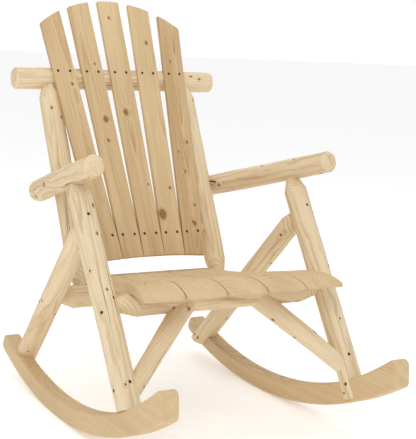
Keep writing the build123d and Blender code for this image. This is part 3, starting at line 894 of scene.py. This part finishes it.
class LOGCHAIR_OT_back_slats(bpy.types.Operator):
    """Models the five fanned back slats under their arch"""
    bl_idname = "log_chair.back_slats"
    bl_label = "Build Back Slats"

    def execute(self, context):
        sizes = context.scene.log_chair_sizes
        thick = sizes.slat_thickness
        back = slat_frame()
        deselect()
        bpy.ops.mesh.primitive_cylinder_add(vertices=240, radius=ARCH_RADIUS, depth=0.06,
                                            location=(0, ARCH_TOP - ARCH_RADIUS, 0))
        arch = bpy.context.active_object
        bpy.ops.object.transform_apply(location=True)
        bpy.ops.object.mode_set(mode="EDIT")
        middle = ARCH_TOP - ARCH_RADIUS
        pick(arch, lambda c, n: c.y < middle - 0.001 and abs(n.z) < 0.5)
        bpy.ops.transform.translate(value=(0, -0.9, 0))
        bpy.ops.object.mode_set(mode="OBJECT")
        deselect()
        bpy.ops.mesh.primitive_cylinder_add(vertices=720, radius=FOOT_ARC, depth=0.06,
                                            location=(0, SLAT_FOOT - FOOT_ARC, 0))
        foot_arc = bpy.context.active_object
        bpy.ops.object.transform_apply(location=True)
        holes = recesses("top_slat_screws", "lower_slat_screws")
        looks = (
            dict(pith=(0.010, -0.050), tilt=(0.004, 0.010), rings=0.0042, warmth=0.75,
                 contrast=0.62),
            dict(pith=(-0.014, -0.034), tilt=(-0.010, 0.012), rings=0.0036, warmth=0.7,
                 contrast=0.66),
            dict(pith=(0.004, -0.026), tilt=(0.016, -0.006), rings=0.0040, warmth=0.7,
                 contrast=0.72),
            dict(pith=(0.020, -0.040), tilt=(0.008, 0.014), rings=0.0036, warmth=0.6,
                 contrast=0.66),
            dict(pith=(0.006, -0.018), tilt=(0.012, 0.004), rings=0.0030, warmth=1.1,
                 contrast=1.0))
        for number in range(1, SLATS + 1):
            place = number - (SLATS + 1) // 2
            low = SLAT_FOOT - SLAT_SPARE
            high = ARCH_TOP + SLAT_SPARE
            x_low, x_high = slat_centre(place, low), slat_centre(place, high)
            board = tapered_board(f"planed_back_slat_{number}", low, high, x_low, x_high,
                                  slat_width(low), slat_width(high), thick)
            carve(board, arch, "INTERSECT")
            carve(board, foot_arc)
            finish_modifier(board, "BEVEL", width=sizes.eased_edge, segments=3,
                            limit_method="ANGLE", angle_limit=radians(35))
            settle(board, back)
            carve(board, holes)
            fan = (x_high - x_low) / (high - low)
            grain = (back @ Matrix.Translation((x_low, low, 0))
                     @ Matrix.Rotation(-pi / 2, 4, "X") @ Matrix.Rotation(fan, 4, "Y"))
            look = dict(looks[number - 1])
            look["pith"] = (look["pith"][0], -look["pith"][1])
            knots = board_knots(f"back_slat_{number}", *SLAT_KNOTTINESS[number - 1],
                                SLAT_KNOT_REACH, high - low)
            dress(board, f"back_slat_{number}",
                  wood(f"back_slat_wood_{number}", grain, wander=0.010, board=True,
                       seed=20.3 + number * 1.9, knots=knots, **look))
        scrap(arch, foot_arc, holes)
        return {"FINISHED"}


def seat_half(y):
    return (SEAT_REAR_HALF + (SEAT_FRONT_HALF - SEAT_REAR_HALF)
            * (SEAT_REAR_Y - y) / (SEAT_REAR_Y - SEAT_CREST_Y))


def seat_blank():
    """The dished seat before it is sawn into slats, as a solid across the chair."""
    deselect()
    bpy.ops.curve.primitive_bezier_curve_add()
    blank = bpy.context.active_object
    curve = blank.data
    curve.splines.clear()
    curve.dimensions = "2D"
    curve.fill_mode = "BOTH"
    curve.extrude = 0.30
    curve.resolution_u = 14
    line = curve.splines.new("BEZIER")
    outline = SEAT_TOP + SEAT_UNDER
    corners = (SEAT_TOP[0], SEAT_TOP[-1], SEAT_UNDER[0], SEAT_UNDER[-1])
    line.bezier_points.add(len(outline) - 1)
    for point, (y, z) in zip(line.bezier_points, outline):
        point.co = (y, z, 0)
        kind = "VECTOR" if (y, z) in corners else "AUTO"
        point.handle_left_type = kind
        point.handle_right_type = kind
    line.use_cyclic_u = True
    bpy.ops.object.convert(target="MESH")
    turn_out(blank)
    upright = Matrix(((0, 0, 1, 0), (1, 0, 0, 0), (0, 1, 0, 0), (0, 0, 0, 1)))
    settle(blank, upright)
    return blank


class LOGCHAIR_OT_seat_slats(bpy.types.Operator):
    """Models the five dished seat slats with their rounded noses"""
    bl_idname = "log_chair.seat_slats"
    bl_label = "Build Seat Slats"

    def execute(self, context):
        sizes = context.scene.log_chair_sizes
        blank = seat_blank()
        holes = recesses("front_seat_screws", "rear_seat_screws")
        looks = (
            dict(pith=(0.016, 0.010), tilt=(0.030, 0.02), rings=0.0034, contrast=0.75,
                 warmth=0.25),
            dict(pith=(0.020, -0.004), tilt=(0.020, -0.02), rings=0.0040, contrast=0.45,
                 warmth=0.1),
            dict(pith=(0.090, 0.020), tilt=(0.004, 0.01), rings=0.0050, contrast=0.35,
                 warmth=0.7),
            dict(pith=(0.018, 0.004), tilt=(0.026, 0.01), rings=0.0036, contrast=0.85,
                 warmth=0.4),
            dict(pith=(0.050, -0.030), tilt=(0.012, 0.02), rings=0.0040, contrast=0.5,
                 warmth=0.4))
        front, rear = SEAT_BLANK_FRONT, SEAT_BLANK_REAR
        for number in range(1, SLATS + 1):
            place = (2 * number - 1 - SLATS) / SLATS
            half_front, half_rear = seat_half(front) / SLATS, seat_half(rear) / SLATS
            wedge = tapered_board(
                "wedge", front, rear, place * SLATS * half_front, place * SLATS * half_rear,
                2 * half_front - SEAT_GAP, 2 * half_rear - SEAT_GAP, 0.20)
            bpy.ops.object.mode_set(mode="EDIT")
            pick_edges(wedge, lambda c, d: abs(d.z) > 0.9 and c.y < 0)
            bpy.ops.mesh.bevel(offset=NOSE_ROUND, segments=7, affect="EDGES")
            bpy.ops.object.mode_set(mode="OBJECT")
            wedge.location.z = 0.42
            bpy.ops.object.transform_apply(location=True)
            wedge.name = f"sawn_seat_slat_{number}"
            carve(wedge, blank, "INTERSECT")
            finish_modifier(wedge, "BEVEL", width=sizes.eased_edge, segments=3,
                            limit_method="ANGLE", angle_limit=radians(35))
            settle(wedge, AT_REST)
            carve(wedge, holes)
            start = AT_REST @ Vector((place * SLATS * half_front, front, 0.335))
            end = AT_REST @ Vector((place * SLATS * half_rear, rear, 0.318))
            grain = log_base(start, end, Vector((0, 0, -1)))
            knots = board_knots(f"seat_slat_{number}", *SEAT_KNOTTINESS[number - 1],
                                SEAT_KNOT_REACH, rear - front)
            dress(wedge, f"seat_slat_{number}",
                  wood(f"seat_slat_wood_{number}", grain, wander=0.008, board=True,
                       seed=40.7 + number * 2.3, knots=knots,
                       **looks[number - 1]))
        scrap(blank, holes)
        return {"FINISHED"}


class LOGCHAIR_OT_screws(bpy.types.Operator):
    """Gives the screws their dark coating"""
    bl_idname = "log_chair.screws"
    bl_label = "Finish Screws"

    def execute(self, context):
        steel = coated_steel()
        for name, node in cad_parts.items():
            if name.endswith("_screws"):
                node.data.materials.clear()
                node.data.materials.append(steel)
        return {"FINISHED"}


class LOGCHAIR_OT_stage(bpy.types.Operator):
    """Sets the pale floor, the soft studio lights and the camera"""
    bl_idname = "log_chair.stage"
    bl_label = "Build Stage"

    def soft_light(self, name, place, aim, size, power):
        deselect()
        bpy.ops.object.light_add(type="AREA", location=place)
        light = bpy.context.active_object
        light.name = name
        light.data.shape = "SQUARE"
        light.data.size = size
        light.data.energy = power
        light.rotation_euler = (Vector(aim) - Vector(place)).to_track_quat("-Z", "Y").to_euler()

    def execute(self, context):
        deselect()
        bpy.ops.mesh.primitive_plane_add(size=60.0, location=(0, 0, -FLOOR_DROP))
        floor = context.active_object
        floor.name = "studio_floor"
        floor.data.materials.append(
            plain("studio_floor_paint", context.scene.log_chair_colours.floor, 0.9,
                  FLOOR_GLOW))
        world = bpy.data.worlds.new("studio")
        world.use_nodes = True
        nodes, links = world.node_tree.nodes, world.node_tree.links
        glow = nodes["Background"]
        glow.inputs["Color"].default_value = (1, 1, 1, 1)
        rays = nodes.new("ShaderNodeLightPath")
        level = nodes.new("ShaderNodeMapRange")
        level.inputs["To Min"].default_value = ROOM_LIGHT
        level.inputs["To Max"].default_value = 1.0
        links.new(rays.outputs["Is Camera Ray"], level.inputs["Value"])
        links.new(level.outputs["Result"], glow.inputs["Strength"])
        context.scene.world = world
        for name, place, size, power in SOFT_LIGHTS:
            self.soft_light(name, place, LIGHT_AIM, size, power)
        context.scene.view_settings.view_transform = "Standard"

        lens = bpy.data.cameras.new("camera")
        lens.sensor_width = 36.0
        lens.lens = LENS_LENGTH
        lens.shift_x, lens.shift_y = LENS_SHIFT
        lens.clip_end = 100.0
        camera = bpy.data.objects.new("camera", lens)
        context.collection.objects.link(camera)
        back = CAMERA_RIGHT.cross(CAMERA_UP)
        axes = Matrix((CAMERA_RIGHT, CAMERA_UP, back)).transposed().to_4x4()
        camera.matrix_world = Matrix.Translation(CAMERA_PLACE) @ axes
        context.scene.camera = camera
        return {"FINISHED"}


class LOGCHAIR_PT_panel(bpy.types.Panel):
    """Lists the steps that build the chair"""
    bl_idname = "LOGCHAIR_PT_panel"
    bl_label = "Log Rocking Chair"
    bl_space_type = "VIEW_3D"
    bl_region_type = "UI"
    bl_category = "Log Chair"

    def draw(self, context):
        for group in (context.scene.log_chair_sizes, context.scene.log_chair_colours):
            box = self.layout.box()
            for name in group.__annotations__:
                box.prop(group, name)
        for step in STEPS:
            self.layout.operator(step.bl_idname)


STEPS = (LOGCHAIR_OT_stage, LOGCHAIR_OT_rockers, LOGCHAIR_OT_front_legs,
         LOGCHAIR_OT_rear_legs, LOGCHAIR_OT_armrests, LOGCHAIR_OT_back_posts,
         LOGCHAIR_OT_rails, LOGCHAIR_OT_braces, LOGCHAIR_OT_back_slats,
         LOGCHAIR_OT_seat_slats, LOGCHAIR_OT_screws)
CLASSES = (LogChairSizes, LogChairColours, *STEPS, LOGCHAIR_PT_panel)


def register():
    for one in CLASSES:
        bpy.utils.register_class(one)
    bpy.types.Scene.log_chair_sizes = bpy.props.PointerProperty(type=LogChairSizes)
    bpy.types.Scene.log_chair_colours = bpy.props.PointerProperty(type=LogChairColours)


def unregister():
    del bpy.types.Scene.log_chair_colours
    del bpy.types.Scene.log_chair_sizes
    for one in reversed(CLASSES):
        bpy.utils.unregister_class(one)


def main():
    register()
    bpy.ops.log_chair.stage()
    bpy.ops.log_chair.rockers()
    bpy.ops.log_chair.front_legs()
    bpy.ops.log_chair.rear_legs()
    bpy.ops.log_chair.armrests()
    bpy.ops.log_chair.back_posts()
    bpy.ops.log_chair.rails()
    bpy.ops.log_chair.braces()
    bpy.ops.log_chair.back_slats()
    bpy.ops.log_chair.seat_slats()
    bpy.ops.log_chair.screws()


if __name__ == "__main__":
    main()
